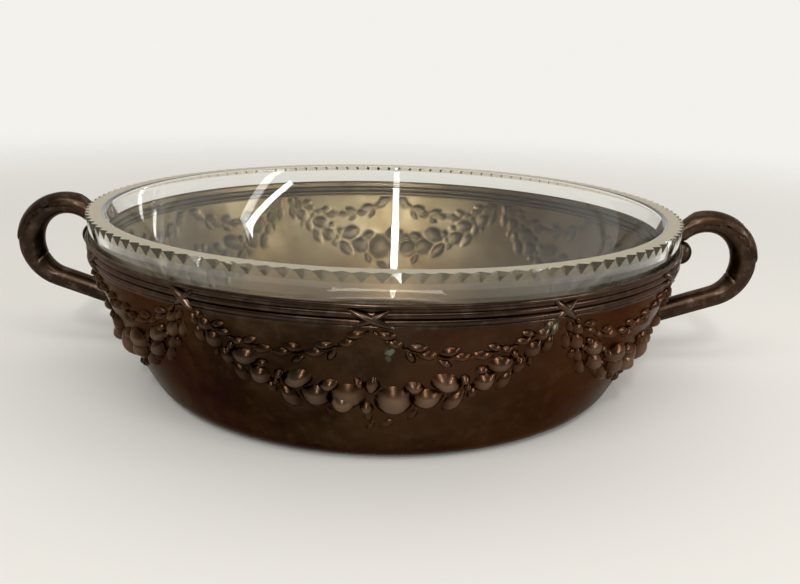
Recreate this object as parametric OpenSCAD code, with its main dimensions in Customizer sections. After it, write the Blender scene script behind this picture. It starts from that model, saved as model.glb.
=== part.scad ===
// Two-handled bowl of pressed brass with fruit garlands and a lift-out cut-glass liner.
// Millimetres. +Z is up, the base stands on Z = 0, the handles lie along X and the front faces -Y.

/* [Bowl] */
// Outer diameter of the metal rim
rim_d = 201; // [190:1:220]
// Height of the metal bowl, base to rim
bowl_h = 52.4; // [50:0.2:58]
// Diameter of the flat base
base_d = 146; // [136:1:152]
// Radius of the bend between base and side
corner_r = 10; // [8:0.5:12]
// Radius of the gentle outward curve of the side
side_r = 250; // [200:5:400]
// Thickness of the brass sheet
sheet = 0.8; // [0.6:0.1:1]
// Width of the standing ring under the base
foot_w = 6; // [4:0.5:10]

/* [Rim band] */
// Height of the reeded band under the rim
band_h = 6.9; // [6.6:0.1:8]
// How far the band leans out from its foot to the lip
band_flare = 0.5; // [0.2:0.1:1]
// Radius of the rounded lip
lip_r = 0.7; // [0.6:0.05:0.9]
// Depth of the upper reed below the rim
reed_drop = 3.1; // [2.8:0.1:3.4]
// Distance from one reed to the next
reed_pitch = 1.95; // [1.9:0.05:2.2]
// Radius of a reed
reed_r = 1; // [0.8:0.05:1.1]
// How far a reed stands proud of the band
reed_h = 0.55; // [0.4:0.05:0.6]

/* [Garlands] */
// Depth of a swag's middle line below the band
swag_drop = 24; // [22:0.5:26]
// Height of the largest fruit above the wall
fruit_h = 3.4; // [2.6:0.1:3.8]
// Height of a garland leaf above the wall
leaf_h = 1.4; // [1:0.1:1.8]
// Depth of a leaf spray's lowest point below the band
spray_drop = 8.5; // [7.5:0.5:9.5]
// Height of a spray leaf above the wall
sprig_h = 1; // [0.8:0.1:1.3]
// Number of leaves in a spray
sprigs = 9; // [6:1:10]

/* [Handles] */
// How far a handle stands out beyond the metal rim
handle_reach = 30.5; // [28:0.5:36]
// Radius of the handle's bend, at its middle line
handle_r = 13.7; // [12.5:0.1:15]
// Height of the handle's top above the metal rim
handle_rise = 7.6; // [6:0.2:10]
// Thickness of the handle at its outer bend
grip_t = 8.8; // [7.5:0.1:9.5]
// Thickness of the handle's arms
arm_t = 7.2; // [6:0.1:7.5]
// Width of the handle, front to back, as a share of its thickness
grip_ratio = 1.1; // [0.9:0.05:1.3]
// Rise of the lower arm, in degrees
arm_rise = 18.5; // [15:0.5:22]
// Radius of the knob that ends the upper root
knob_r = 3.6; // [3:0.1:4]

/* [Glass liner] */
// How far the glass rim stays inside the metal rim, as seen from above
glass_back = 0.5; // [0.3:0.1:1]
// Height of the glass rim above the metal rim
glass_rise = 7.6; // [6:0.1:12]
// Width of the flat top of the glass
glass_top = 6; // [5:0.1:7]
// Thickness of the glass wall and floor
glass_t = 5; // [4:0.1:6]
// Radius of the bend inside the glass
glass_bend = 9; // [6:0.5:14]
// Clear space between glass and brass
liner_gap = 1.2; // [1:0.1:1.5]
// Number of notches cut in the glass rim
notches = 128; // [100:1:140]
// Depth of a notch, down the outside of the rim
notch_h = 2.6; // [1.5:0.1:3]
// Bite of a notch into the flat top
notch_in = 1.6; // [1.2:0.1:2]

/* [Hidden] */
swags = 6;
$fn = 96;
fine_fn = 720;

brass_color = [0.27, 0.19, 0.14];
glass_color = [0.80, 0.83, 0.80, 0.4];

rim_r = rim_d / 2;
neck_r = rim_r - 2 * lip_r + sheet;
band_r = neck_r - band_flare;
band_z = bowl_h - band_h;
lip_z = bowl_h - lip_r;
overcut = 1;

// The side's curve passes the foot of the band and runs into the base bend without a kink.
corner_c = [base_d / 2, corner_r];
side_top = [band_r, band_z];
side_span = norm(corner_c - side_top);
side_u = (corner_c - side_top) / side_span;
side_along = (side_r ^ 2 - (side_r - corner_r) ^ 2 + side_span ^ 2) / (2 * side_span);
side_off = sqrt(side_r ^ 2 - side_along ^ 2);
side_c = side_top + side_along * side_u + side_off * [side_u[1], -side_u[0]];

function wall_r(z, inset = 0) = side_c[0] + sqrt((side_r - inset) ^ 2 - (z - side_c[1]) ^ 2);
function wall_lean(z) = asin((side_c[1] - z) / side_r);
function band_at(z) = band_r + band_flare * (z - band_z) / (lip_z - band_z);

// Centre of a bend that joins a floor to the side, with the side moved in by inset.
function bend_c(inset, floor_z, bend) =
    [side_c[0] + sqrt((side_r - inset - bend) ^ 2 - (floor_z + bend - side_c[1]) ^ 2), floor_z + bend];

// Half section from the axis to the side, moved in by inset, from its floor up to the band.
module dish(inset, floor_z, bend) {
    c = bend_c(inset, floor_z, bend);
    meet_z = c[1] + bend * (c[1] - side_c[1]) / norm(c - side_c);
    intersection() {
        translate(side_c) circle(r = side_r - inset, $fn = fine_fn);
        translate([0, meet_z]) square([rim_d, band_z - meet_z]);
    }
    intersection() {
        translate(c) circle(r = bend);
        square([rim_d, meet_z]);
    }
    translate([0, floor_z]) square([c[0], meet_z - floor_z]);
}

// Half section from the axis out to a line that runs from the top of such a side up to a given point.
// It reaches down into the dish, so that the two join.
lap = 2;
module collar(inset, top) {
    foot_r = wall_r(band_z, inset);
    polygon([[0, band_z - lap], [foot_r - lap, band_z - lap], [foot_r, band_z], top, [0, top[1]]]);
}

// Rings of the reeded band, as half sections moved in by inset: two reeds, and a bead of half their size
// just above the foot of the band.
bead_share = 0.5;
bead_gap = 0.15;
module reed(z, share, inset) {
    translate([band_at(z) - share * (reed_r - reed_h) - inset, z]) circle(r = share * reed_r, $fn = 32);
}
module reeds(inset) {
    upper_z = bowl_h - reed_drop;
    reed(upper_z, 1, inset);
    reed(upper_z - reed_pitch, 1, inset);
    reed(band_z + bead_share * reed_r + bead_gap, bead_share, inset);
}

// Half section of everything inside the plain wall and band.
module bowl_plain() {
    dish(0, 0, corner_r);
    collar(0, [neck_r, lip_z]);
}

// The same with its reeds, lip and standing ring.
module bowl_outer() {
    foot_r = corner_c[0] - foot_w;
    difference() {
        union() {
            bowl_plain();
            reeds(0);
            translate([rim_r - lip_r, lip_z]) circle(r = lip_r, $fn = 32);
        }
        translate([-overcut, -overcut]) square([foot_r + overcut, liner_gap + overcut]);
    }
}

// Half section of the hollow: the reeds show inside, and the floor is lifted within its standing ring.
module bowl_hollow() {
    floor_r = corner_c[0] - foot_w + sheet;
    difference() {
        dish(sheet, sheet, corner_r - sheet);
        square([floor_r, liner_gap + sheet]);
    }
    collar(sheet, [neck_r - sheet, lip_z]);
    translate([0, lip_z]) square([neck_r - sheet, lip_r + overcut]);
    reeds(sheet);
}

module bowl_body() {
    color(brass_color) rotate_extrude() difference() {
        bowl_outer();
        bowl_hollow();
    }
}

// Stands children on the wall: X to the right along it, Y up the slope, Z straight out.
module on_wall(angle, z) {
    rotate([0, 0, angle - 90]) translate([wall_r(z), 0, z])
        rotate([0, 90 + wall_lean(z), 0]) rotate([0, 0, 90]) children();
}

// Keeps what stands above the plane that touches the wall, out to a given reach.
module above(reach) {
    intersection() {
        children();
        translate([-reach, -reach, 0]) cube(2 * reach);
    }
}

// A round boss of the given width and height.
function boss_r(w, h) = (w ^ 2 / 4 + h ^ 2) / (2 * h);
module boss(w, h) {
    r = boss_r(w, h);
    above(w) translate([0, 0, h - r]) sphere(r = r);
}

// A pointed leaf with a ridge along it: where two balls set side by side overlap.
module leaf(l, w, h, turn) {
    ridge_r = boss_r(l, h);
    apart = (l ^ 2 - w ^ 2) / (4 * w);
    ball_r = norm([apart, ridge_r]);
    rotate([0, 0, turn]) above(l) intersection() {
        translate([0, apart, h - ridge_r]) sphere(r = ball_r, $fn = max($fn, 8 * ball_r));
        translate([0, -apart, h - ridge_r]) sphere(r = ball_r, $fn = max($fn, 8 * ball_r));
    }
}

swag_pitch = 360 / swags;
half_swag = swag_pitch / 2;
hang_gap = 1.5;
swag_power = 2.2;
swag_low = band_z - swag_drop;
function swag_z(a) = swag_low + (swag_drop - hang_gap) * pow(a / half_swag, swag_power);

// Fruits of half a swag: angle from its middle, rise over its middle line, width, share of fruit_h.
fruits = [
    [4.1, 0.4, 10, 1], [9.5, -0.6, 7.2, 0.85], [7.4, 5.4, 5.2, 0.65], [12.3, 3.4, 7.4, 0.85],
    [16, 2.6, 4, 0.55], [19, -1, 6.6, 0.75], [20.8, 3, 5.2, 0.65], [23.2, 1, 3, 0.4],
];
// Leaves of half a swag: angle, rise, length, width, turn.
leaves = [
    [1.6, 6, 5.6, 3.4, 60], [1.6, -6.4, 5.4, 3.2, 75], [5.8, -5.8, 5.6, 3.4, 55], [14.4, -3.6, 8, 5, -35],
    [15.4, 6.4, 4.6, 2.6, 35], [22.4, -5.2, 6.4, 4.4, -50], [24.6, -3, 6, 4, -60], [26.5, -1, 6, 4, -65],
    [28.1, -4.6, 5.4, 3.4, -85],
];

module half_swag_fruits() {
    for (f = fruits) {
        on_wall(f[0], swag_z(f[0]) + f[1]) boss(f[2], fruit_h * f[3]);
    }
}

module half_swag_leaves() {
    for (f = leaves) {
        on_wall(f[0], swag_z(f[0]) + f[1]) leaf(f[2], f[3], leaf_h, f[4]);
    }
}

// Leaves on a thin stem that hangs from the end of a swag to its middle, above the fruit.
spray_share = 0.47;
spray_mid = half_swag * spray_share;
sprig_l = 4.2;
sprig_w = 2.2;
sprig_turn = 28;
sprig_lean = 2;
function spray_z(a) =
    band_z - spray_drop + (spray_drop - hang_gap) * pow((a - spray_mid) / (half_swag - spray_mid), 2);
module half_spray() {
    for (i = [0:sprigs - 1]) {
        a = half_swag * (i + 1) / (sprigs + 1);
        side = i % 2 == 0 ? 1 : -1;
        turn = side * sprig_turn + (a - spray_mid) * sprig_lean;
        on_wall(a, spray_z(a) + side * sprig_h) leaf(sprig_l, sprig_w, sprig_h, turn);
    }
}

// Two ribbons crossed over the reeds, longer and with a knot where two swags meet.
tie_z = bowl_h - reed_drop - reed_pitch / 2;
band_lean = atan(band_flare / (lip_z - band_z));
ribbon_h = 0.6;
over_h = 0.9;
ribbon_l = 9.5;
ribbon_w = 1.9;
ribbon_turn = 28;
knot_scale = 1.26;
knot_w = 3.4;
module ribbon(share, h, turn) {
    leaf(share * ribbon_l, share * ribbon_w, h, turn);
}
module tie(angle, knotted) {
    share = knotted ? knot_scale : 1;
    rotate([0, 0, angle - 90]) translate([band_at(tie_z) + reed_h, 0, tie_z])
        rotate([0, 90 + band_lean, 0]) rotate([0, 0, 90]) {
            ribbon(share, over_h, ribbon_turn);
            ribbon(share, ribbon_h, -ribbon_turn);
            if (knotted) boss(knot_w, 2 * over_h);
        }
}

// One swag of the garland, both halves alike.
module fruit_swag(i) {
    color(brass_color) rotate([0, 0, i * swag_pitch]) for (side = [0, 1]) mirror([side, 0, 0]) {
        half_swag_fruits();
        half_swag_leaves();
    }
}

module leaf_spray(i) {
    color(brass_color) rotate([0, 0, i * swag_pitch]) for (side = [0, 1]) {
        mirror([side, 0, 0]) half_spray();
    }
}

// The ribbons lie on the crests of the reeds. None cross where a handle stands.
handle_angle = 90;
module ribbon_ties() {
    color(brass_color) for (i = [0:swags - 1]) {
        tie(i * swag_pitch, false);
        knot = i * swag_pitch + half_swag;
        if (abs(knot - 180) != handle_angle) tie(knot, true);
    }
}

// Middle line of the right handle: a straight lower arm, then a bend over the top and down to the band.
handle_top = bowl_h + handle_rise;
handle_c = [rim_r + handle_reach - grip_t / 2 - handle_r, handle_top - arm_t / 2 - handle_r];
arm_low = arm_rise - 90;
arm_high = 155;
arm_l = handle_c[0] + handle_r * cos(arm_low) - base_d / 2;
bend_steps = 36;
arm_steps = 4;
ring_sides = 20;
function bend_at(a) = handle_c + handle_r * [cos(a), sin(a)];
function grip_at(a) = arm_t + (grip_t - arm_t) * pow(max(0, cos(a)), 2);
// One ring of the handle's skin: round its middle point, square to the bend angle.
function ring(p, a, t) = [for (j = [0:ring_sides - 1]) let (b = 360 * j / ring_sides)
    [p[0] + t / 2 * cos(b) * cos(a), t / 2 * grip_ratio * sin(b), p[1] + t / 2 * cos(b) * sin(a)]];
rings = [
    for (i = [0:arm_steps - 1])
        ring(bend_at(arm_low) - arm_l * (1 - i / arm_steps) * [cos(arm_rise), sin(arm_rise)],
            arm_low, grip_at(arm_low)),
    for (i = [0:bend_steps]) let (a = arm_low + (arm_high - arm_low) * i / bend_steps)
        ring(bend_at(a), a, grip_at(a)),
];

module handle_skin() {
    last = (len(rings) - 1) * ring_sides;
    polyhedron(
        points = [for (r = rings, p = r) p],
        faces = [
            [for (j = [0:ring_sides - 1]) j],
            [for (j = [ring_sides - 1:-1:0]) last + j],
            for (i = [0:len(rings) - 2], j = [0:ring_sides - 1], half = [0, 1])
                let (k = (j + 1) % ring_sides, a = i * ring_sides, b = a + ring_sides)
                half == 0 ? [a + j, b + j, b + k] : [a + j, b + k, a + k],
        ]);
}

// Half section of what a handle keeps clear of: the bowl and the mouth above its lip.
module handle_limit() {
    bowl_outer();
    translate([0, lip_z]) square([rim_r, handle_top - lip_z]);
}

module handle() {
    color(brass_color) difference() {
        union() {
            handle_skin();
            translate([neck_r + knob_r, 0, band_z]) sphere(r = knob_r);
        }
        rotate_extrude($fn = fine_fn) handle_limit();
    }
}

module handle_right() {
    handle();
}

module handle_left() {
    mirror([1, 0, 0]) handle();
}

glass_r = rim_r - glass_back;
glass_z = bowl_h + glass_rise;
liner_in = sheet + liner_gap;
glass_in = liner_in + glass_t;

// Half section of a filled dish whose side runs on above the band to a given radius at the glass rim.
module filled_liner(inset, bend, top_r) {
    dish(inset, inset, bend);
    collar(inset, [top_r, glass_z]);
}

// A V-notch across the outer edge of the glass rim, nearly as wide as its share of the rim.
notch_share = 0.98;
notch_over = 1.05;
glass_lean = (glass_r - wall_r(band_z, liner_in)) / (glass_z - band_z);
notch_tilt = atan((notch_in - glass_lean * notch_h) / notch_h);
notch_deep = notch_h * (glass_lean * cos(notch_tilt) + sin(notch_tilt)) * notch_over;
notch_w = notch_share * 2 * PI * glass_r / notches;
module notch() {
    translate([glass_r - glass_lean * notch_h, 0, glass_z - notch_h]) rotate([0, -notch_tilt, 0])
        translate([0, 0, -notch_h]) linear_extrude(3 * notch_h)
            polygon([[0, 0], [notch_deep, notch_w / 2], [notch_deep, -notch_w / 2]]);
}

module glass_liner() {
    color(glass_color) difference() {
        rotate_extrude() difference() {
            filled_liner(liner_in, corner_r - liner_in, glass_r);
            filled_liner(glass_in, glass_bend, glass_r - glass_top);
        }
        for (i = [0:notches - 1]) rotate([0, 0, 360 * i / notches]) notch();
    }
}

bowl_body();
handle_left();
handle_right();
glass_liner();
ribbon_ties();
for (i = [1:swags]) fruit_swag(i);
for (i = [1:swags]) leaf_spray(i);
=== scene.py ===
import math

import bmesh
import bpy
from mathutils import Matrix, Vector


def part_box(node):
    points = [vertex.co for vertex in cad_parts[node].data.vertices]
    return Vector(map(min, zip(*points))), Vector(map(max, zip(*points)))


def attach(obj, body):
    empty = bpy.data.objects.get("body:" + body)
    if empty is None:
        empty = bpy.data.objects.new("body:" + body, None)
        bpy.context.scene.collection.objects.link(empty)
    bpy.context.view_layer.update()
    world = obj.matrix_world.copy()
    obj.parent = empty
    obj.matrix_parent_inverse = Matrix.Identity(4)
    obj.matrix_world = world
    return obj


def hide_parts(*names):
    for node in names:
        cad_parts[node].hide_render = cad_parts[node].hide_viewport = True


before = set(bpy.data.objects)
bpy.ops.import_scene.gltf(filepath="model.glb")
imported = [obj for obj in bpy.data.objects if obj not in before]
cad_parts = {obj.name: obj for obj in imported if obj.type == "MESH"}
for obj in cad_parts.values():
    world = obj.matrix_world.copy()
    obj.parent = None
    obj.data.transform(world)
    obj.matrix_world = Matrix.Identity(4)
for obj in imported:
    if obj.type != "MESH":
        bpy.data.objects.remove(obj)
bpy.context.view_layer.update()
mm = 0.001
tiny = 1e-6
weld = 0.02 * mm
print("frame loaded")


# small helpers for working by operators

def nothingSelected():
    if bpy.context.object and bpy.context.object.mode != "OBJECT":
        bpy.ops.object.mode_set(mode="OBJECT")
    bpy.ops.object.select_all(action="DESELECT")


def pick(piece):
    nothingSelected()
    piece.select_set(True)
    bpy.context.view_layer.objects.active = piece


def edit(piece):
    pick(piece)
    bpy.ops.object.mode_set(mode="EDIT")
    bpy.ops.mesh.select_mode(type="VERT")
    return bmesh.from_edit_mesh(piece.data)


def done(piece):
    bmesh.update_edit_mesh(piece.data)
    bpy.ops.object.mode_set(mode="OBJECT")


def selectVerts(bm, test):
    bpy.ops.mesh.select_mode(type="VERT")
    for v in bm.verts:
        v.select = bool(test(v.co))
    bm.select_flush_mode()


def selectEdges(bm, test):
    bpy.ops.mesh.select_all(action="DESELECT")
    bpy.ops.mesh.select_mode(type="EDGE")
    for e in bm.edges:
        e.select = bool(test(e))
    bm.select_flush_mode()


def applied(piece, kind, **settings):
    pick(piece)
    modifier = piece.modifiers.new(kind.title(), kind)
    for name, value in settings.items():
        setattr(modifier, name, value)
    bpy.ops.object.modifier_apply(modifier=modifier.name)


def joined(pieces, name):
    pick(pieces[0])
    for piece in pieces[1:]:
        piece.select_set(True)
    if len(pieces) > 1:
        bpy.ops.object.join()
    bpy.context.object.name = name
    bpy.context.object.data.name = name
    return bpy.context.object


def drawn(name, points):
    # one vertex, drawn out along the points of a line
    nothingSelected()
    bpy.ops.mesh.primitive_plane_add(size=mm)
    piece = bpy.context.object
    piece.name = name
    edit(piece)
    bpy.ops.mesh.select_all(action="SELECT")
    bpy.ops.mesh.merge(type="CENTER")
    bpy.ops.transform.translate(value=points[0])
    for start, end in zip(points, points[1:]):
        step = Vector(end) - Vector(start)
        bpy.ops.mesh.extrude_region_move(TRANSFORM_OT_translate={"value": step})
    bpy.ops.object.mode_set(mode="OBJECT")
    return piece


def spun(name, section, steps):
    # a section of (radius, height) points, turned about the upright axis
    piece = drawn(name, [(r, 0, z) for r, z in section])
    edit(piece)
    bpy.ops.mesh.select_all(action="SELECT")
    bpy.ops.mesh.spin(steps=steps, angle=2 * math.pi, center=(0, 0, 0), axis=(0, 0, 1), use_auto_merge=True)
    bpy.ops.mesh.select_all(action="SELECT")
    bpy.ops.mesh.remove_doubles(threshold=weld)
    bpy.ops.mesh.normals_make_consistent(inside=False)
    bpy.ops.object.mode_set(mode="OBJECT")
    return piece


def smooth(piece, degrees):
    pick(piece)
    bpy.ops.object.shade_smooth_by_angle(angle=math.radians(degrees))


def arc(centre, radius, start, end, count):
    turns = [math.radians(start + (end - start) * i / count) for i in range(count + 1)]
    return [(centre[0] + radius * math.cos(t), centre[1] + radius * math.sin(t)) for t in turns]


# the metal bowl's own shape: base, side and band, shared by all that sits on it

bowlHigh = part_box("bowl_body")[1]
bowl = {
    "rimR": bowlHigh.x,
    "height": bowlHigh.z,
    "baseR": 73 * mm,
    "cornerR": 10 * mm,
    "sideR": 250 * mm,
    "sheet": 0.8 * mm,
    "footW": 6 * mm,
    "floorLift": 1.2 * mm,
    "bandH": 6.9 * mm,
    "bandFlare": 0.5 * mm,
    "lipR": 0.7 * mm,
    "reedDrop": 3.1 * mm,
    "reedPitch": 1.95 * mm,
    "reedR": 1 * mm,
    "reedH": 0.55 * mm,
}
neckR = bowl["rimR"] - 2 * bowl["lipR"] + bowl["sheet"]
bandR = neckR - bowl["bandFlare"]
bandZ = bowl["height"] - bowl["bandH"]
lipZ = bowl["height"] - bowl["lipR"]
cornerC = Vector((bowl["baseR"], bowl["cornerR"]))
sideTop = Vector((bandR, bandZ))
toCorner = cornerC - sideTop
sideSpan = toCorner.length
sideU = toCorner / sideSpan
sideAlong = (bowl["sideR"] ** 2 - (bowl["sideR"] - bowl["cornerR"]) ** 2 + sideSpan ** 2) / (2 * sideSpan)
sideOff = math.sqrt(bowl["sideR"] ** 2 - sideAlong ** 2)
sideC = sideTop + sideAlong * sideU + sideOff * Vector((sideU.y, -sideU.x))


def wallR(z, inset=0):
    return sideC.x + math.sqrt((bowl["sideR"] - inset) ** 2 - (z - sideC.y) ** 2)


def wallLean(z):
    return math.asin((sideC.y - z) / bowl["sideR"])


def bandAt(z):
    return bandR + bowl["bandFlare"] * (z - bandZ) / (lipZ - bandZ)


def onWall(angle, z, turn=0):
    # x to the right along the wall, y up its slope, z straight out, at an angle from the front
    stand = Matrix.Translation((wallR(z), 0, z)) @ Matrix.Rotation(math.pi / 2 + wallLean(z), 4, "Y")
    stand = stand @ Matrix.Rotation(math.pi / 2 + turn, 4, "Z")
    return Matrix.Rotation(math.radians(angle - 90), 4, "Z") @ stand


def onBand(angle, z, turn=0):
    lean = math.atan(bowl["bandFlare"] / (lipZ - bandZ))
    stand = Matrix.Translation((bandAt(z), 0, z)) @ Matrix.Rotation(math.pi / 2 + lean, 4, "Y")
    stand = stand @ Matrix.Rotation(math.pi / 2 + turn, 4, "Z")
    return Matrix.Rotation(math.radians(angle - 90), 4, "Z") @ stand


# finishes

class Flow:
    def __init__(self, tree, socket=None):
        self.tree = tree
        self.socket = socket

    def node(self, kind, settings=None, values=None, out=0):
        made = self.tree.nodes.new(kind)
        for name, value in (settings or {}).items():
            setattr(made, name, value)
        for key, value in (values or {}).items():
            if isinstance(value, Flow):
                self.tree.links.new(value.socket, made.inputs[key])
            else:
                made.inputs[key].default_value = value
        return Flow(self.tree, made.outputs[out])

    def math(self, operation, first, second=0.0):
        return self.node("ShaderNodeMath", {"operation": operation}, {0: first, 1: second})

    def __add__(self, other):
        return self.math("ADD", self, other)

    def __radd__(self, other):
        return self.math("ADD", other, self)

    def __sub__(self, other):
        return self.math("SUBTRACT", self, other)

    def __rsub__(self, other):
        return self.math("SUBTRACT", other, self)

    def __mul__(self, other):
        return self.math("MULTIPLY", self, other)

    def __rmul__(self, other):
        return self.math("MULTIPLY", other, self)

    def __pow__(self, other):
        return self.math("POWER", self, other)

    def ramp(self, low, high):
        return self.node("ShaderNodeMapRange", {"interpolation_type": "SMOOTHSTEP"},
                         {"Value": self, "From Min": low, "From Max": high})

    def mix(self, first, second):
        settings = {"data_type": "RGBA", "blend_type": "MIX"}
        return self.node("ShaderNodeMix", settings, {0: self, 6: first, 7: second}, out=2)


def newMaterial(name):
    material = bpy.data.materials.new(name)
    material.use_nodes = True
    material.node_tree.nodes.clear()
    return material, Flow(material.node_tree)


def output(flow, shader):
    end = flow.tree.nodes.new("ShaderNodeOutputMaterial")
    flow.tree.links.new(shader.socket, end.inputs["Surface"])


def parts(flow, place):
    axis = flow.node("ShaderNodeSeparateXYZ", None, {0: place})
    return [Flow(flow.tree, axis.socket.node.outputs[k]) for k in "XYZ"]


def noise(flow, place, scale, detail, rough=0.6):
    return flow.node("ShaderNodeTexNoise", None, {
        "Vector": place, "Scale": scale, "Detail": detail, "Roughness": rough})


def heightOffWall(flow, place):
    x, y, z = parts(flow, place)
    radius = (x * x + y * y) ** 0.5
    drop = z - sideC.y
    return radius - ((bowl["sideR"] ** 2 - drop * drop) ** 0.5 + sideC.x)


def heightOffBand(flow, place):
    x, y, z = parts(flow, place)
    radius = (x * x + y * y) ** 0.5
    return radius - (bandR + bowl["bandFlare"] / (lipZ - bandZ) * (z - bandZ))


def noHeight(flow, place):
    return flow.math("ADD", 0.0, 0.0)


patina = {
    "deep": (0.018, 0.0083, 0.0030, 1),
    "brown": (0.047, 0.0235, 0.0100, 1),
    # red tone: the patina's own red patches, and also a painted reflection that grows redder towards the
    # right
    "red": (0.066, 0.0265, 0.0135, 1),
    "worn": (0.22, 0.130, 0.076, 1),
    "fleck": (0.12, 0.086, 0.064, 1),
    "green": (0.15, 0.20, 0.14, 1),
    "edge": (0.50, 0.43, 0.38, 1),
    # clouds of colour: scale and detail
    "cloud": (38, 6),
    "patch": (14, 3),
    "grain": (900, 4),
    "mottle": (240, 6),
    # where each tone comes in
    "brownAt": (0.36, 0.66),
    "patchAt": (0.5, 0.7),
    # painted reflection: redder towards the right side (+x), over this span
    "paintedReflectionAt": (-20 * mm, 60 * mm),
    "fleckAt": (0.48, 0.68),
    "wornAt": (0.3, 0.7),
    "dullAt": (0.4, 0.7),
    # how much of it
    "patchShare": 0.6,
    "paintedReflectionShare": 0.4,
    "wornLeast": 0.22,
    "wornMore": 0.45,
    # verdigris: angle from the front, height, size, strength
    "spots": [(2.8, 39, 1.1, 0.7), (2.7, 37.1, 1.0, 0.3), (27.8, 44, 3.0, 0.22)],
    "spotCore": 0.4,
    "spotFray": 0.004,
    # gloss
    "grainRough": 0.10,
    "dullRough": 0.10,
    "wornSmooth": 0.04,
    "spotRough": 0.3,
    "coatRough": 0.2,
    "polish": 0.35,
    "bumpStrength": 0.12,
    "bumpDepth": 0.2 * mm,
    "cloudBump": 2,
}


def patinaBrass(name, heightAt, wornHeight, smoothest, redness, coat, flecks):
    material, flow = newMaterial(name)
    place = flow.node("ShaderNodeTexCoord", out="Object")
    clouds = ("cloud", "patch", "grain", "mottle")
    cloud, patch, grain, mottle = [noise(flow, place, *patina[k]) for k in clouds]
    high = heightAt(flow, place).ramp(*wornHeight)
    worn = high * (patina["wornLeast"] + patina["wornMore"] * cloud.ramp(*patina["wornAt"]))
    colour = cloud.ramp(*patina["brownAt"]).mix(patina["deep"], patina["brown"])
    # the red patches are the patina's own; the redder right side laid over them is a painted reflection
    paintedReflection = parts(flow, place)[0].ramp(*patina["paintedReflectionAt"])
    redPatchesAndReflection = patina["patchShare"] * patch.ramp(*patina["patchAt"]) + patina["paintedReflectionShare"] * paintedReflection
    colour = (redness * redPatchesAndReflection).mix(colour, patina["red"])
    colour = (flecks * mottle.ramp(*patina["fleckAt"])).mix(colour, patina["fleck"])
    colour = worn.mix(colour, patina["worn"])
    verdigris = noHeight(flow, place)
    for angle, z, size, strength in patina["spots"]:
        at = onWall(angle, z * mm).to_translation()
        away = flow.node("ShaderNodeVectorMath", {"operation": "DISTANCE"}, {0: place, 1: at}, out="Value")
        frayed = away + patina["spotFray"] * (grain - 0.5)
        verdigris = verdigris + strength * frayed.ramp(size * mm, patina["spotCore"] * size * mm)
    colour = verdigris.mix(colour, patina["green"])
    rough = smoothest + patina["grainRough"] * (grain - 0.5)
    rough = rough + patina["dullRough"] * cloud.ramp(*patina["dullAt"])
    rough = rough - patina["wornSmooth"] * worn + patina["spotRough"] * verdigris
    bumps = flow.node("ShaderNodeBump", None, {
        "Strength": patina["bumpStrength"], "Distance": patina["bumpDepth"],
        "Height": grain + patina["cloudBump"] * cloud})
    shader = flow.node("ShaderNodeBsdfPrincipled", None, {
        "Base Color": colour, "Metallic": 1.0, "Roughness": rough, "Specular Tint": patina["edge"],
        "Coat Weight": coat + patina["polish"] * high, "Coat Roughness": patina["coatRough"],
        "Normal": bumps})
    output(flow, shader)
    return material


inner = {
    "gold": (0.195, 0.152, 0.090, 1),
    "dull": (0.088, 0.060, 0.027, 1),
    # darker tone: painted shade towards the bottom of the inside, also laid on towards the right
    "low": (0.060, 0.036, 0.016, 1),
    # painted shade for the hollows of the pressed relief, seen from inside
    "sunkShade": (0.042, 0.031, 0.019, 1),
    "cloud": (26, 5),
    "fine": (700, 3),
    "goldAt": (0.35, 0.62),
    "sunkShadeAt": (-0.72 * mm, -0.35 * mm),
    "sunkShadeShare": 0.75,
    # painted shade: darker deep in the bowl, from this height down
    "lowAt": (34 * mm, 10 * mm),
    "paintedShadeShare": 0.85,
    "rightAt": (5 * mm, 60 * mm),
    "rightShare": 0.6,
    "rough": 0.30,
    "cloudRough": 0.14,
    "fineRough": 0.06,
}


def innerBrass(name, heightAt):
    material, flow = newMaterial(name)
    place = flow.node("ShaderNodeTexCoord", out="Object")
    cloud, fine = [noise(flow, place, *inner[k]) for k in ("cloud", "fine")]
    colour = cloud.ramp(*inner["goldAt"]).mix(inner["dull"], inner["gold"])
    x, y, z = parts(flow, place)
    # painted shade: the inside is darker towards the bottom; the same darker tone also goes on towards the
    # right
    low = inner["paintedShadeShare"] * z.ramp(*inner["lowAt"])
    right = inner["rightShare"] * x.ramp(*inner["rightAt"])
    colour = flow.math("MAXIMUM", low, right).mix(colour, inner["low"])
    # painted shade in the hollows where the sheet is pressed outwards, seen from inside
    sunkShade = inner["sunkShadeShare"] * heightAt(flow, place).ramp(*inner["sunkShadeAt"])
    colour = sunkShade.mix(colour, inner["sunkShade"])
    rough = inner["rough"] + inner["cloudRough"] * cloud + inner["fineRough"] * fine
    shader = flow.node("ShaderNodeBsdfPrincipled", None, {
        "Base Color": colour, "Metallic": 1.0, "Roughness": rough})
    output(flow, shader)
    return material


clear = {
    "tint": (0.95, 0.96, 0.93, 1),
    "ground": (0.48, 0.40, 0.235, 1),
    "facet": (0.56, 0.48, 0.32, 1),
    "ior": 1.5,
    "shine": 0.26,
}


def glassFinish(name, tint, rough, through):
    material, flow = newMaterial(name)
    shadow = flow.node("ShaderNodeLightPath", out="Is Shadow Ray")
    shader = flow.node("ShaderNodeBsdfPrincipled", None, {
        "Base Color": tint, "Roughness": rough, "IOR": clear["ior"],
        "Specular IOR Level": clear["shine"], "Transmission Weight": through})
    light = flow.node("ShaderNodeBsdfTransparent", None, {"Color": clear["tint"]})
    output(flow, flow.node("ShaderNodeMixShader", None, {0: shadow, 1: shader, 2: light}))
    return material


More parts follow.
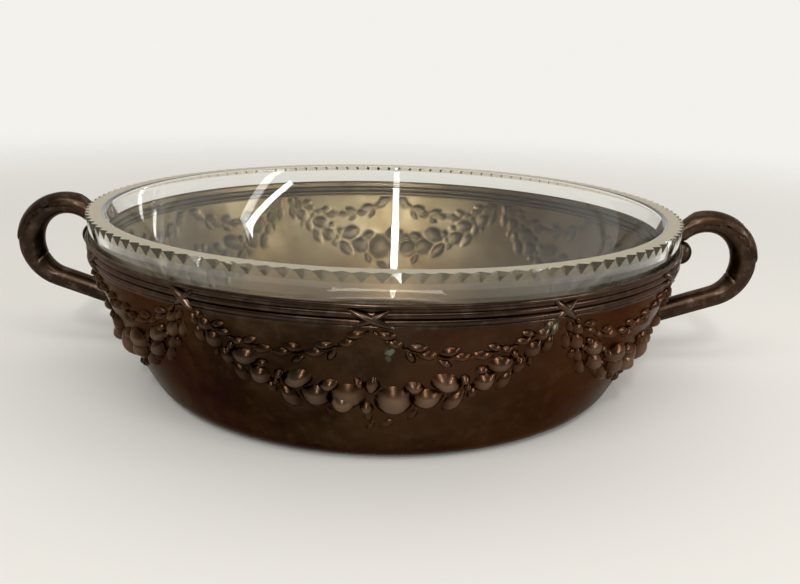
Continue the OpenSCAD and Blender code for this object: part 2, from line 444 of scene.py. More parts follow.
wallFinish = patinaBrass("patinatedBrass", heightOffWall, wornHeight=(0.4 * mm, 3.4 * mm),
                         smoothest=0.24, redness=0.9, coat=0.05, flecks=0.12)
bandFinish = patinaBrass("patinatedBand", heightOffBand, wornHeight=(0.4 * mm, 3.2 * mm),
                         smoothest=0.2, redness=0.3, coat=0.25, flecks=0.3)
handleFinish = patinaBrass("patinatedHandle", noHeight, wornHeight=(0.5, 1),
                           smoothest=0.33, redness=0.1, coat=0.24, flecks=0.5)
sheetFinish = innerBrass("innerBrass", heightOffWall)
bandInside = innerBrass("innerBand", heightOffBand)
clearFinish = glassFinish("clearGlass", clear["tint"], rough=0.02, through=1.0)
groundFinish = glassFinish("groundGlass", clear["ground"], rough=0.32, through=0.4)
facetFinish = glassFinish("facetGlass", clear["facet"], rough=0.08, through=0.92)
print("finishes mixed")


# motifs of the garland, each modelled once at unit size, hollow underneath

motif = {
    "sink": 0.38,
    "hollow": 0.5,
    "narrower": 0.9,
    "tipLonger": 0.10,
    "tipNarrower": 0.45,
    "tipPower": 2.5,
    "leafNarrower": 0.5,
    "leafTop": 0.93,
    "ridgeH": 0.10,
    "ridgeW": 0.10,
    "crease": 50,
}


def hollowed(piece):
    # close the open dome with an underside of its own shape, half as high
    bm = edit(piece)
    bpy.ops.mesh.select_all(action="SELECT")
    bpy.ops.mesh.normals_make_consistent(inside=False)
    bpy.ops.mesh.duplicate()
    narrower = motif["narrower"]
    bpy.ops.transform.resize(value=(narrower, narrower, motif["hollow"]), center_override=(0, 0, 0))
    bpy.ops.mesh.flip_normals()
    selectEdges(bm, lambda e: e.is_boundary)
    bpy.ops.mesh.bridge_edge_loops()
    bpy.ops.mesh.select_all(action="SELECT")
    bpy.ops.mesh.normals_make_consistent(inside=False)
    bpy.ops.object.mode_set(mode="OBJECT")
    smooth(piece, motif["crease"])
    return piece


def dome(name, sides, rings, shape):
    nothingSelected()
    bpy.ops.mesh.primitive_uv_sphere_add(segments=sides, ring_count=rings, radius=0.5)
    piece = bpy.context.object
    piece.name = name
    edit(piece)
    bpy.ops.mesh.select_all(action="SELECT")
    bpy.ops.transform.resize(value=(1, 1, 2), center_override=(0, 0, 0))
    bpy.ops.mesh.bisect(plane_co=(0, 0, -motif["sink"]), plane_no=(0, 0, 1), clear_inner=True)
    bm = bmesh.from_edit_mesh(piece.data)
    for v in bm.verts:
        v.co = Vector(shape(*v.co))
    done(piece)
    return hollowed(piece)


def plainShape(x, y, z):
    # a soft swelling that runs on outward, under the wall's face
    away = 2 * math.hypot(x, y)
    reach = away if z > 0 else 2 - away
    wider = reach / max(away, tiny)
    return x * wider, y * wider, 1 - reach ** 2


def pointedShape(x, y, z):
    # an egg drawn out to a tip at the right
    x, y, z = plainShape(x, y, z)
    tip = max(2 * x, 0)
    narrowed = 1 - motif["tipNarrower"] * tip ** motif["tipPower"]
    return x * (1 + motif["tipLonger"] * tip), y * narrowed, z


def leafShape(x, y, z):
    # full in the middle, with a tip at both ends and a soft ridge between
    x, y, z = plainShape(x, y, z)
    tip = abs(2 * x)
    ridge = math.exp(-(y / motif["ridgeW"]) ** 2) if z > 0 else 0
    return x, y * (1 - motif["leafNarrower"] * tip ** 2), z * (motif["leafTop"] + motif["ridgeH"] * ridge)


motifs = {
    "round": dome("motifRound", sides=28, rings=14, shape=plainShape),
    "pointed": dome("motifPointed", sides=18, rings=9, shape=pointedShape),
    "leaf": dome("motifLeaf", sides=14, rings=7, shape=leafShape),
    "sprig": dome("motifSprig", sides=10, rings=5, shape=leafShape),
    "berry": dome("motifBerry", sides=12, rings=6, shape=plainShape),
}
print("motifs modelled")


def copied(kind, place, length, width, height):
    piece = motifs[kind].copy()
    piece.data = motifs[kind].data.copy()
    bpy.context.scene.collection.objects.link(piece)
    piece.data.transform(place @ Matrix.Diagonal((length, width, height, 1)))
    if place.determinant() < 0:
        piece.data.flip_normals()
    piece.data.materials.append(wallFinish)
    return piece


def onHalf(middleAngle, angle, z, turn, mirrored):
    # the same place in the right half of a garland, or mirrored in its left half
    turned = Matrix.Rotation(math.radians(turn), 4, "Z")
    if mirrored:
        return onWall(middleAngle - angle, z * mm) @ Matrix.Diagonal((-1, 1, 1, 1)) @ turned
    return onWall(middleAngle + angle, z * mm) @ turned


# six swags of fruit, alike: what hangs at the middle, and what both halves repeat

swag = {
    "count": 6,
    "fuller": 1.16 * mm,
    "lower": 0.9 * mm,
    "core": 0.72,           # the sheet fills this share of each larger fruit
    "coreFrom": 1.65,
    # kind, angle from the middle, height, length, width, how far it stands out, turn
    "middle": [
        ("round", 3.75, 23.2, 8.8, 9.2, 3.7, 0),
        ("round", -4.0, 24.4, 8.5, 7.6, 2.8, 0),
        ("round", -4.7, 22.9, 6.8, 6.6, 4.2, -20),
        ("leaf", 0.1, 28.3, 5.4, 4, 2.3, 80),
        ("leaf", -1.9, 29, 3.6, 2.2, 1.9, -50),
        ("berry", -0.8, 20.6, 3.4, 3.4, 2.2, 0),
        ("leaf", -0.2, 14.3, 3.4, 1.8, 1.1, 62),
        ("leaf", 2.8, 15.2, 4.2, 2.3, 1.1, 30),
        ("leaf", -0.6, 17.4, 3.2, 2.2, 1.1, 100),
    ],
    "half": [
        ("pointed", 12, 29, 7.5, 5.4, 3.2, -22),
        ("pointed", 9.2, 23.9, 7.2, 6.2, 3, 14),
        ("pointed", 6.9, 27.8, 4.8, 3.5, 2.3, -14),
        ("leaf", 13.8, 22.7, 7.4, 4.2, 2.4, 52),
        ("leaf", 7.1, 18.3, 4.4, 2, 1, 62),
        ("berry", 15, 29.9, 2.7, 2.6, 2.1, 0),
        ("berry", 15.9, 27.2, 2.1, 2.1, 1.5, 0),
        ("leaf", 16.9, 25, 3.8, 2.4, 1.4, 50),
        ("pointed", 18.5, 28.7, 6, 5, 2.8, 40),
        ("leaf", 17.6, 32.7, 3.6, 2.1, 1.6, 12),
        ("pointed", 20.6, 34, 6.7, 4.7, 2.6, 14),
        ("leaf", 22, 28.2, 6.2, 3.4, 1.8, 60),
        ("leaf", 24, 32.7, 5.2, 2.7, 1.7, 68),
        ("berry", 22.5, 36.9, 2.2, 2.2, 1.7, 0),
        ("berry", 23.4, 35.2, 1.9, 1.9, 1.5, 0),
        ("leaf", 25.8, 33.7, 3.2, 1.7, 1.2, 100),
        ("pointed", 25.7, 37.7, 5.4, 4.1, 2.1, 58),
        ("leaf", 28.2, 38.6, 5.4, 2.8, 1.7, 75),
        ("pointed", 26.6, 42, 4.4, 3.3, 1.8, 40),
        ("leaf", 28.4, 43, 4, 2.1, 1.5, 64),
        ("leaf", 27.2, 44.7, 3.2, 1.7, 1.3, 50),
    ],
}
cores = []


def swagPiece(middleAngle, row, mirrored):
    kind, angle, z, length, width, height, turn = row
    place = onHalf(middleAngle, angle, z, turn, mirrored)
    size = [length * swag["fuller"], width * swag["fuller"], height * swag["lower"]]
    if height > swag["coreFrom"]:
        cores.append(copied(kind, place, *[swag["core"] * s for s in size]))
    return copied(kind, place, *size)


def fruitSwag(i):
    middleAngle = i * 360 / swag["count"]
    pieces = [swagPiece(middleAngle, row, False) for row in swag["middle"] + swag["half"]]
    pieces += [swagPiece(middleAngle, row, True) for row in swag["half"]]
    piece = joined(pieces, "fruitSwag%d" % i)
    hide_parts("fruit_swag_%d" % i)
    return piece


# a spray of small leaves on a stem above each swag

spray = {
    "height": 1.4 * mm,
    "longer": 1.4 * mm,
    "wider": 1.25 * mm,
    "stemR": 0.38 * mm,
    "stemUp": 0.7,
    # angle from the middle, height, length, width, turn
    "leaves": [
        (2.2, 43.9, 4.3, 2.3, -10),
        (3.4, 41.5, 4, 2.3, -15),
        (5.9, 37.6, 3.6, 2, -60),
        (7, 40.4, 4.3, 2, -5),
        (8.5, 37.9, 4.5, 2.5, -8),
        (11.9, 38.9, 4.3, 2.4, 12),
        (11.3, 35.4, 3.5, 1.9, -30),
        (13.8, 37.1, 4.3, 2.3, 0),
        (17.1, 37.2, 4.8, 2.6, -4),
        (18.9, 39.5, 3.6, 2, -12),
        (21, 38.7, 3.2, 1.8, 10),
        (23.5, 40.8, 4.2, 2, 12),
        (24, 42.9, 3.4, 1.8, -5),
    ],
    "stem": [(0.4, 45), (1.8, 42.9), (4.4, 40.2), (7, 39.1), (9.8, 37.6), (12.2, 36.9),
             (15.3, 36.9), (18.5, 37.9), (22, 39.2), (25, 41), (27, 42.6)],
    "stemSteps": 4,
}


def eased(points, steps):
    # a smooth line through the points
    line = []
    ends = [points[0]] + points + [points[-1]]
    for a, b, c, d in zip(ends, ends[1:], ends[2:], ends[3:]):
        for k in range(steps):
            t = k / steps
            line.append([0.5 * (2 * q + (r - p) * t + (2 * p - 5 * q + 4 * r - s) * t ** 2
                                + (3 * q - p - 3 * r + s) * t ** 3) for p, q, r, s in zip(a, b, c, d)])
    return line + [list(points[-1])]


def stem(middleAngle, side):
    lift = Vector((0, 0, spray["stemUp"] * spray["stemR"]))
    line = eased(spray["stem"], spray["stemSteps"])
    pick(drawn("stem", [onWall(middleAngle + side * angle, z * mm) @ lift for angle, z in line]))
    bpy.ops.object.convert(target="CURVE")
    curve = bpy.context.object.data
    curve.bevel_depth = spray["stemR"]
    curve.bevel_resolution = 1
    curve.use_fill_caps = True
    bpy.ops.object.convert(target="MESH")
    made = bpy.context.object
    edit(made)
    bpy.ops.mesh.select_all(action="SELECT")
    bpy.ops.mesh.remove_doubles(threshold=tiny)
    bpy.ops.object.mode_set(mode="OBJECT")
    made.data.materials.append(wallFinish)
    return made


def leafSpray(i):
    middleAngle = i * 360 / swag["count"]
    pieces = [stem(middleAngle, side) for side in (-1, 1)]
    for mirrored in (False, True):
        for angle, z, length, width, turn in spray["leaves"]:
            place = onHalf(middleAngle, angle, z, turn, mirrored)
            size = (length * spray["longer"], width * spray["wider"], spray["height"])
            pieces.append(copied("sprig", place, *size))
    piece = joined(pieces, "leafSpray%d" % i)
    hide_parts("leaf_spray_%d" % i)
    return piece


swagNumbers = range(1, swag["count"] + 1)
fruitSwags = [fruitSwag(i) for i in swagNumbers]
leafSprays = [leafSpray(i) for i in swagNumbers]
print("garlands modelled")


# ribbons crossed over the reeds, larger where two swags meet; none behind the handles

tie = {
    "z": bowl["height"] - bowl["reedDrop"] - bowl["reedPitch"] / 2,
    "height": 1.1 * mm,
    "width": 2.4 * mm,
    "off": 0.3 * mm,
    "over": 0.2 * mm,
    # length and turn of the ribbon below and of the one that crosses over it
    "small": [(10 * mm, 25), (12 * mm, -22)],
    "large": [(8 * mm, 36), (10 * mm, -38)],
    "knot": (3 * mm, 2.6 * mm, 1.7 * mm),
    "handles": (90, 270),
}


def crossed(angle, ribbons):
    pieces = []
    for n, (length, turn) in enumerate(ribbons):
        lift = Matrix.Translation((0, 0, tie["off"] + n * tie["over"]))
        place = onBand(angle, tie["z"], math.radians(turn)) @ lift
        pieces.append(copied("leaf", place, length, tie["width"], tie["height"]))
    return pieces


tiePieces = []
for i in range(2 * swag["count"]):
    angle = i * 180 / swag["count"]
    if i % 2 == 0:
        tiePieces += crossed(angle, tie["small"])
    elif angle not in tie["handles"]:
        tiePieces += crossed(angle, tie["large"])
        tiePieces.append(copied("berry", onBand(angle, tie["z"]), *tie["knot"]))
ribbonTies = joined(tiePieces, "ribbonTies")
ribbonTies.data.materials.clear()
ribbonTies.data.materials.append(bandFinish)
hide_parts("ribbon_ties")
print("ribbons modelled")


# the dish of the bowl: two skins, both pressed out into the garlands, the inner one finer

dish = {
    "outerColumns": 512,
    "outerRows": 30,
    "innerColumns": 1024,
    "innerRows": 62,
    "cornerRows": 6,
    "stepW": 1 * mm,
    "pressFrom": 9 * mm,
    "pressTo": bandZ - 0.3 * mm,
    "outerPress": 0.7,
    "innerPress": 0.48,     # how far towards the hollow side of the relief
    "reach": 6 * mm,
    "soften": 0.4,
    "probe": (20 * mm, 30 * mm),    # well up the side
    "crease": 60,
}


def skinSection(inset, rows):
    footR = bowl["baseR"] - bowl["footW"] + inset
    lifted = bowl["floorLift"] + inset
    points = [(footR - dish["stepW"], lifted), (footR, lifted), (footR, inset), (bowl["baseR"], inset)]
    joinTurn = math.degrees(math.atan2(cornerC.y - sideC.y, cornerC.x - sideC.x))
    points += arc(cornerC, bowl["cornerR"] - inset, -90, joinTurn, dish["cornerRows"])[1:]
    topTurn = math.degrees(math.asin((bandZ - sideC.y) / (bowl["sideR"] - inset)))
    return points + arc(sideC, bowl["sideR"] - inset, joinTurn, topTurn, rows)[1:]


def skin(name, inset, rows, columns, die, share):
    piece = spun(name, skinSection(inset, rows), columns)
    bm = edit(piece)
    selectEdges(bm, lambda e: e.is_boundary and e.verts[0].co.z < bandZ / 2)
    bpy.ops.mesh.edge_face_add()
    bpy.ops.mesh.select_all(action="SELECT")
    bpy.ops.mesh.normals_make_consistent(inside=False)
    done(piece)
    probeFrom, probeTo = dish["probe"]
    side = [f for f in piece.data.polygons if probeFrom < f.center.z < probeTo][0]
    if side.normal.dot(Vector((side.center.x, side.center.y, 0))) < 0:
        piece.data.flip_normals()
    group = piece.vertex_groups.new(name="pressed")
    pressed = [v.index for v in piece.data.vertices if dish["pressFrom"] < v.co.z < dish["pressTo"]]
    group.add(pressed, share, "REPLACE")
    applied(piece, "SHRINKWRAP", target=die, wrap_method="PROJECT", use_positive_direction=True,
            use_negative_direction=False, project_limit=dish["reach"], vertex_group="pressed")
    applied(piece, "SMOOTH", factor=dish["soften"], iterations=1, vertex_group="pressed")
    bpy.data.objects.remove(die)
    piece.data.materials.clear()
    piece.data.materials.append(wallFinish)
    piece.data.materials.append(sheetFinish)
    return piece


def twin(piece):
    made = piece.copy()
    made.data = piece.data.copy()
    bpy.context.scene.collection.objects.link(made)
    return made


outerDie = joined(cores, "outerDie")
innerDie = joined([twin(piece) for piece in fruitSwags + leafSprays], "innerDie")
outerSkin = skin("outerSkin", 0, dish["outerRows"], dish["outerColumns"], outerDie, dish["outerPress"])
innerSkin = skin("innerSkin", bowl["sheet"], dish["innerRows"], dish["innerColumns"],
                 innerDie, dish["innerPress"])
for f in innerSkin.data.polygons:
    f.material_index = 1
bowlDish = joined([outerSkin, innerSkin], "bowlDish")
selectEdges(edit(bowlDish), lambda e: e.is_boundary)
bpy.ops.mesh.fill(use_beauty=False)
bpy.ops.mesh.select_all(action="SELECT")
bpy.ops.mesh.normals_make_consistent(inside=False)
done(bowlDish)
smooth(bowlDish, dish["crease"])
print("dish pressed", len(bowlDish.data.polygons))


# the reeded band with its rounded lip

band = {
    "columns": 384,
    "beadUp": 0.65 * mm,
    "beadShare": 0.5,
    "reedSteps": 8,
    "lipSteps": 14,
    "lipTurn": (-80, 180),
    "crease": 40,
}


def reedPoints(z, share, inset):
    centre = (bandAt(z) - share * (bowl["reedR"] - bowl["reedH"]) - inset, z)
    reach = math.degrees(math.acos((bowl["reedR"] - bowl["reedH"]) / bowl["reedR"]))
    return arc(centre, share * bowl["reedR"], -reach, reach, band["reedSteps"])


def bandSection():
    upper = bowl["height"] - bowl["reedDrop"]
    reeds = [(bandZ + band["beadUp"], band["beadShare"]), (upper - bowl["reedPitch"], 1), (upper, 1)]
    outer = [(bandR, bandZ)]
    inside = [(bandR - bowl["sheet"], bandZ)]
    for z, share in reeds:
        outer += reedPoints(z, share, 0)
        inside += reedPoints(z, share, bowl["sheet"])
    lip = arc((bowl["rimR"] - bowl["lipR"], lipZ), bowl["lipR"], *band["lipTurn"], band["lipSteps"])
    section = outer + lip + inside[::-1]
    return section + section[:1]


rimBand = spun("rimBand", bandSection(), band["columns"])
smooth(rimBand, band["crease"])
rimBand.data.materials.clear()
rimBand.data.materials.append(bandFinish)
rimBand.data.materials.append(bandInside)
for f in rimBand.data.polygons:
    outwards = f.normal.x * f.center.x + f.normal.y * f.center.y
    f.material_index = 1 if outwards < 0 and f.center.z < lipZ else 0
print("band turned")


# the lift-out glass with its notched rim

glassLow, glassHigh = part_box("glass_liner")
glass = {
    "rimR": glassHigh.x,
    "top": glassHigh.z,
    "base": glassLow.z + 0.1 * mm,      # a hair clear of the bowl's floor
    "topW": 6 * mm,
    "edgeR": 1.2 * mm,
    "wall": 5 * mm,
    "gap": 2 * mm,
    "bend": 9 * mm,
    "easeFrom": 36.5 * mm,
    "sideFrom": 1 * mm,     # above the bend
    "notches": 128,
    "notchH": 2.6 * mm,
    "notchIn": 1.6 * mm,
    "bendSteps": 8,
    "sideSteps": 22,
    "edgeSteps": 6,
    "close": 0.05 * mm,
    "level": 0.98,
    "crease": 24,
}
notchZ = glass["top"] - glass["notchH"]
cornerAt = (glass["rimR"], glass["top"])
biteAt = (glass["rimR"] - glass["notchIn"], glass["top"])


def glassSide(inset, topR, startZ, endZ, count):
    # follows the bowl's side, then straightens evenly up to the rim
    fromZ = glass["easeFrom"]
    fromR = wallR(fromZ, inset)
    slope = (sideC.y - fromZ) / (fromR - sideC.x)
    rise = glass["top"] - fromZ
    ease = (topR - fromR - slope * rise) / rise ** 2
    points = []
    for i in range(count + 1):
        z = startZ + (endZ - startZ) * i / count
        up = z - fromZ
        points.append((wallR(z, inset) if up < 0 else fromR + slope * up + ease * up ** 2, z))
    return points


def bendInto(inset, floorZ, bend):
    centreR = sideC.x + math.sqrt((bowl["sideR"] - inset - bend) ** 2 - (floorZ + bend - sideC.y) ** 2)
    centre = Vector((centreR, floorZ + bend))
    turn = math.degrees(math.atan2(centre.y - sideC.y, centre.x - sideC.x))
    return arc(centre, bend, -90, turn, glass["bendSteps"])


def glassSection():
    outInset = glass["gap"]
    inInset = glass["gap"] + glass["wall"]
    outer = bendInto(outInset, glass["base"], bowl["cornerR"] - outInset)
    outer += glassSide(outInset, glass["rimR"], outer[-1][1] + glass["sideFrom"], notchZ, glass["sideSteps"])
    inside = bendInto(inInset, glass["base"] + glass["wall"], glass["bend"])
    edgeR = glass["edgeR"]
    edgeZ = glass["top"] - edgeR
    topR = glass["rimR"] - glass["topW"]
    inside += glassSide(inInset, topR, inside[-1][1] + glass["sideFrom"], edgeZ, glass["sideSteps"])
    inside += arc((inside[-1][0] + edgeR, edgeZ), edgeR, 180, 90, glass["edgeSteps"])[1:]
    return outer + [cornerAt, biteAt] + inside[::-1]


liner = spun("glassLiner", glassSection(), 2 * glass["notches"])
bm = edit(liner)
stepTurn = math.pi / glass["notches"]


def valley(co):
    # every other column is the bottom of a notch
    return round(math.atan2(co.y, co.x) / stepTurn) % 2 == 1


def near(co, r, z):
    return abs(math.hypot(co.x, co.y) - r) < glass["close"] and abs(co.z - z) < glass["close"]


lowAt = glassSide(glass["gap"], glass["rimR"], notchZ, glass["top"], 1)[0]
corners = [v for v in bm.verts if near(v.co, *cornerAt)]
bites = [v for v in bm.verts if near(v.co, *biteAt) and valley(v.co)]
lows = [v for v in bm.verts if near(v.co, *lowAt) and valley(v.co)]
points = [v for v in corners if not valley(v.co)]
for v in corners:
    if valley(v.co):
        turn = math.atan2(v.co.y, v.co.x)
        r = (biteAt[0] + lowAt[0]) / 2
        v.co = Vector((r * math.cos(turn), r * math.sin(turn), (biteAt[1] + lowAt[1]) / 2))
for chosen in (points + bites, points + lows):
    bpy.ops.mesh.select_all(action="DESELECT")
    bpy.ops.mesh.select_mode(type="VERT")
    for v in chosen:
        v.select = True
    bm.select_flush_mode()
    bpy.ops.mesh.vert_connect()
    bm = bmesh.from_edit_mesh(liner.data)
floorMid = glass["base"] + glass["wall"] / 2
for low, high in ((0, floorMid), (floorMid, glass["top"])):
    selectEdges(bm, lambda e: e.is_boundary and low <= e.verts[0].co.z < high)
    bpy.ops.mesh.edge_face_add()
bpy.ops.mesh.select_all(action="SELECT")
bpy.ops.mesh.normals_make_consistent(inside=False)
done(liner)
smooth(liner, glass["crease"])
liner.data.materials.clear()
liner.data.materials.append(clearFinish)
liner.data.materials.append(groundFinish)
liner.data.materials.append(facetFinish)
for f in liner.data.polygons:
    onRing = math.hypot(f.center.x, f.center.y) > glass["rimR"] - glass["topW"] + glass["edgeR"]
    if onRing and f.center.z > notchZ:
        f.material_index = 1 if f.normal.z > glass["level"] else 2
print("glass cut", len(liner.data.polygons))


# a loop handle at each side, with a leaf sheath, a collar and a scrolled root

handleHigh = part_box("handle_right")[1]
handle = {
    "bendR": 13.7 * mm,
    "gripT": 8.8 * mm,
    "armT": 7.2 * mm,
    "ratio": 1.1,
    "armRise": 18.5,
    "rootTurn": 152,
    "sides": 56,
    "bendSteps": 110,
    "armSteps": 16,
    "armRoot": 20.5 * mm,
    "armSunk": 4 * mm,
    # edge of the sheath: turn round the bend, and share of the way from the inner to the outer side
    "sheath": [(-4, 1.04), (8, 0.82), (25, 0.66), (45, 0.6), (62, 0.55), (78, 0.49), (96, 0.42), (116, 0.40)],
    "sheathH": 0.45 * mm,
    "sheathSoft": 0.05,
    "sheathFrom": (-6, 2),
    "sheathTo": (125, 100),
    "scallop": 0.035,
    "scallops": 12,
    "seamShare": 0.7,
    "seamW": 0.02,
    "seamTo": (112, 92),
    "grooveAt": 0.86,
    "grooveW": 0.03,
    "grooveH": 0.4 * mm,
    "grooveTo": (2, -18),
    "collarAt": 139,
    "collarW": 1.6,
    "collarH": 0.45 * mm,
    "neckShare": 0.8,
    "neckL": 4,
    "curlAt": -30,
    "curlLean": 14,
    "curlFrom": 0.2,
    "curlW": 1.5,
    "curlShare": 0.8,
    "curlSide": (0.5, 0.36),
    "dentTurn": (-11, 3),
    "dentSide": (0.78, 0.05),
    "knob": (104.4 * mm, 45.2 * mm),
    "knobSize": (3.8 * mm, 3.4 * mm, 4.2 * mm),
    "knobSides": 28,
    "knobRings": 16,
    "crease": 40,
}
handleC = Vector((handleHigh.x - handle["gripT"] / 2 - handle["bendR"],
                  handleHigh.z - handle["armT"] / 2 - handle["bendR"]))
armLow = handle["armRise"] - 90


def ramp(value, low, high):
    share = min(max((value - low) / (high - low), 0), 1)
    return share * share * (3 - 2 * share)


def bump(value, middle, width):
    return math.exp(-((value - middle) / width) ** 2)


def gripT(turn):
    return handle["armT"] + (handle["gripT"] - handle["armT"]) * max(0, math.cos(math.radians(turn))) ** 2


def sheathEdge(turn):
    rows = handle["sheath"]
    for (low, first), (high, second) in zip(rows, rows[1:]):
        if turn <= high:
            return first + (second - first) * max(turn - low, 0) / (high - low)
    return rows[-1][1]


def handleRelief(turn, side):
    # how far the surface stands out: side is 0 at the inner side of the loop and 1 at the outer
    edge = sheathEdge(turn) + handle["scallop"] * math.sin(math.radians(handle["scallops"] * turn))
    sheathed = ramp(turn, *handle["sheathFrom"])
    out = handle["sheathH"] * ramp(side - edge, 0, handle["sheathSoft"])
    out *= sheathed * ramp(turn, *handle["sheathTo"])
    seam = bump(side, edge - handle["seamW"], handle["seamW"]) * sheathed * ramp(turn, *handle["seamTo"])
    out -= handle["seamShare"] * handle["sheathH"] * seam
    groove = bump(side, handle["grooveAt"], handle["grooveW"])
    out -= handle["grooveH"] * groove * ramp(turn, *handle["grooveTo"])
    collar = bump(turn, handle["collarAt"], handle["collarW"])
    neck = ramp(turn, handle["collarAt"], handle["collarAt"] + handle["neckL"])
    out -= handle["collarH"] * (collar + handle["neckShare"] * neck)
    curlAt = handle["curlAt"] - handle["curlLean"] * (side - handle["curlFrom"])
    curl = bump(turn, curlAt, handle["curlW"]) * ramp(side, *handle["curlSide"])
    out -= handle["curlShare"] * handle["grooveH"] * curl
    out -= handle["grooveH"] * bump(turn, *handle["dentTurn"]) * bump(side, *handle["dentSide"])
    return out


def handleRings():
    rise = math.radians(handle["armRise"])
    low = math.radians(armLow)
    foot = handleC + handle["bendR"] * Vector((math.cos(low), math.sin(low)))
    armL = (foot.x - wallR(handle["armRoot"]) + handle["armSunk"]) / math.cos(rise)
    rings = []
    for i in range(handle["armSteps"]):
        back = armL * (1 - i / handle["armSteps"])
        rings.append((foot - back * Vector((math.cos(rise), math.sin(rise))), armLow))
    for i in range(handle["bendSteps"] + 1):
        turn = armLow + (handle["rootTurn"] - armLow) * i / handle["bendSteps"]
        at = math.radians(turn)
        rings.append((handleC + handle["bendR"] * Vector((math.cos(at), math.sin(at))), turn))
    return rings


def swept(name, rings, sides, ratio):
    nothingSelected()
    bpy.ops.mesh.primitive_circle_add(vertices=sides, radius=1, fill_type="NGON")
    piece = bpy.context.object
    piece.name = name
    bm = edit(piece)
    bpy.ops.mesh.select_all(action="SELECT")
    turns = [math.atan2(v.co.y, v.co.x) for v in bm.verts]
    for n, (centre, turn) in enumerate(rings):
        if n:
            bpy.ops.mesh.extrude_region_move()
        bm = bmesh.from_edit_mesh(piece.data)
        at = math.radians(turn)
        chosen = [v for v in bm.verts if v.select]
        for v, b in zip(chosen, turns):
            r = gripT(turn) / 2 + handleRelief(turn, 0.5 + 0.5 * math.cos(b))
            out = r * math.cos(b)
            across = r * ratio * math.sin(b)
            v.co = Vector((centre.x + out * math.cos(at), across, centre.y + out * math.sin(at)))
    bpy.ops.mesh.select_all(action="SELECT")
    bpy.ops.mesh.normals_make_consistent(inside=False)
    done(piece)
    return piece


def cutOff(piece, at, outwards, test):
    # only the part that passes the test is cut
    bm = edit(piece)
    selectVerts(bm, test)
    bpy.ops.mesh.bisect(plane_co=at, plane_no=outwards, use_fill=True, clear_inner=True)
    bpy.ops.object.mode_set(mode="OBJECT")


def loopHandle(name):
    piece = swept(name, handleRings(), handle["sides"], handle["ratio"])
    halfSheet = bowl["sheet"] / 2
    lean = wallLean(handle["armRoot"])
    atRoot = (wallR(handle["armRoot"]) - halfSheet, 0, handle["armRoot"])
    cutOff(piece, atRoot, (math.cos(lean), 0, -math.sin(lean)), lambda co: co.z < handleC.y)
    cutOff(piece, (bandR - halfSheet, 0, 0), (1, 0, 0), lambda co: co.z > handleC.y)
    cutOff(piece, (bowl["rimR"], 0, lipZ), (1, 0, -1), lambda co: co.z > handleC.y)
    nothingSelected()
    knobX, knobZ = handle["knob"]
    bpy.ops.mesh.primitive_uv_sphere_add(
        segments=handle["knobSides"], ring_count=handle["knobRings"], radius=1)
    knob = bpy.context.object
    edit(knob)
    bpy.ops.mesh.select_all(action="SELECT")
    bpy.ops.transform.resize(value=handle["knobSize"], center_override=(0, 0, 0))
    bpy.ops.transform.translate(value=(knobX, 0, knobZ))
    bpy.ops.object.mode_set(mode="OBJECT")
    cutOff(knob, (bandR - halfSheet, 0, 0), (1, 0, 0), lambda co: True)
    piece = joined([piece, knob], name)
    smooth(piece, handle["crease"])
    piece.data.materials.clear()
    piece.data.materials.append(handleFinish)
    return piece


handleRight = loopHandle("handleRight")
handleLeft = twin(handleRight)
handleLeft.name = "handleLeft"
handleLeft.data.transform(Matrix.Diagonal((-1, 1, 1, 1)))
handleLeft.data.flip_normals()
print("handles swept")

for template in motifs.values():
    bpy.data.objects.remove(template)


# each piece in its place in the frame

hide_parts("bowl_body")
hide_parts("handle_left")
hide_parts("handle_right")
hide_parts("glass_liner")
for piece in [bowlDish, rimBand, ribbonTies, handleLeft, handleRight] + fruitSwags + leafSprays:
    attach(piece, "bowl")
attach(liner, "liner")
print("pieces set")


# pale floor that fades into the backdrop, soft studio light and the camera

room = {
    "wall": (0.90, 0.885, 0.845, 1),
    "floor": (0.84, 0.815, 0.77, 1),
    "floorRough": 0.9,
    "floorSize": 12,
    "fade": (0.25, 0.9),
    "world": 0.75,
    "front": 0.4,
    "turns": (-0.35, 0.25),
}
nothingSelected()
bpy.ops.mesh.primitive_plane_add(size=room["floorSize"])
floor = bpy.context.object
floor.name = "floor"
material, flow = newMaterial("paleFloor")
x, y, z = parts(flow, flow.node("ShaderNodeTexCoord", out="Object"))
far = ((x * x + y * y) ** 0.5).ramp(*room["fade"])
close = flow.node("ShaderNodeBsdfPrincipled", None, {
    "Base Color": room["floor"], "Roughness": room["floorRough"]})
beyond = flow.node("ShaderNodeBsdfTransparent")
output(flow, flow.node("ShaderNodeMixShader", None, {0: far, 1: close, 2: beyond}))
floor.data.materials.append(material)

scene = bpy.context.scene
scene.view_settings.view_transform = "Standard"
world = bpy.data.worlds.new("room")
world.use_nodes = True
world.node_tree.nodes.clear()
flow = Flow(world.node_tree)
seen = flow.node("ShaderNodeLightPath").socket.node.outputs
rays = ("Is Camera Ray", "Is Transmission Ray", "Is Glossy Ray")
straight, through, mirrored = [Flow(flow.tree, seen[k]) for k in rays]
direct = flow.math("MAXIMUM", straight, through)
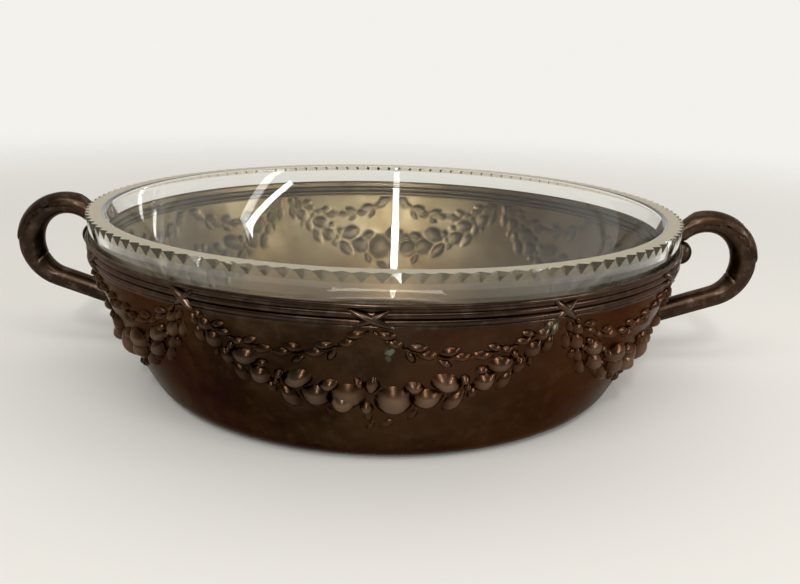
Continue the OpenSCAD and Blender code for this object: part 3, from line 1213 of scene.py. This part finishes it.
# the room is dimmer in front of the bowl than the backdrop behind it
towards = flow.node("ShaderNodeNewGeometry", out="Incoming")
behind = (0 - parts(flow, towards)[1]).ramp(*room["turns"])
level = room["front"] + (1 - room["front"]) * behind
strength = flow.math("MAXIMUM", direct, level * (room["world"] + (1 - room["world"]) * mirrored))
background = flow.node("ShaderNodeBackground", None, {"Color": room["wall"], "Strength": strength})
end = flow.tree.nodes.new("ShaderNodeOutputWorld")
flow.tree.links.new(background.socket, end.inputs["Surface"])
scene.world = world

lamps = {
    # name: both ends of its middle line, width, watts
    "stripFront": ((-0.75, -0.85, 1.15), (0.75, -0.85, 1.15), 0.3, 7),
    "windowFront": ((-0.065, -1.33, 0.38), (-0.07, -1.05, 0.94), 0.065, 4.4),
    "bulbFront": ((-0.07, -1.13, 0.80), (-0.07, -1.05, 0.93), 0.08, 2),
    "windowRight": ((1.05, -0.86, 0.24), (1.245, -0.18, 0.64), 0.07, 4.6),
    "windowBack": ((0.97, 1.0, 0.14), (0.85, 1.11, 0.24), 0.045, 0.9),
}
lampAim = Vector((0, 0, 0.04))
for name, (low, high, width, watts) in lamps.items():
    along = Vector(high) - Vector(low)
    place = (Vector(high) + Vector(low)) / 2
    back = (place - lampAim).normalized()
    side = along.cross(back).normalized()
    lamp = bpy.data.lights.new(name, "AREA")
    lamp.shape = "RECTANGLE"
    lamp.size, lamp.size_y = width, along.length
    lamp.energy = watts
    holder = bpy.data.objects.new(name, lamp)
    turned = Matrix((side, back.cross(side), back)).transposed().to_4x4()
    holder.matrix_world = Matrix.Translation(place) @ turned
    scene.collection.objects.link(holder)

eye = {"place": (9.694, -304.925, 113.273), "ahead": (-0.01312, 0.96254, -0.27084),
       "right": (0.99943, 0.02101, 0.02626), "up": (-0.03097, 0.27034, 0.96227),
       "lens": 39.508, "sensor": 36, "clip": 10}
camera = bpy.data.cameras.new("photoView")
camera.lens = eye["lens"]
camera.sensor_width = eye["sensor"]
camera.clip_start = eye["clip"] * mm
viewer = bpy.data.objects.new("photoView", camera)
turnTo = Matrix((eye["right"], eye["up"], -Vector(eye["ahead"]))).transposed().to_4x4()
viewer.matrix_world = Matrix.Translation(Vector(eye["place"]) * mm) @ turnTo
scene.collection.objects.link(viewer)
scene.camera = viewer
print("stage set")
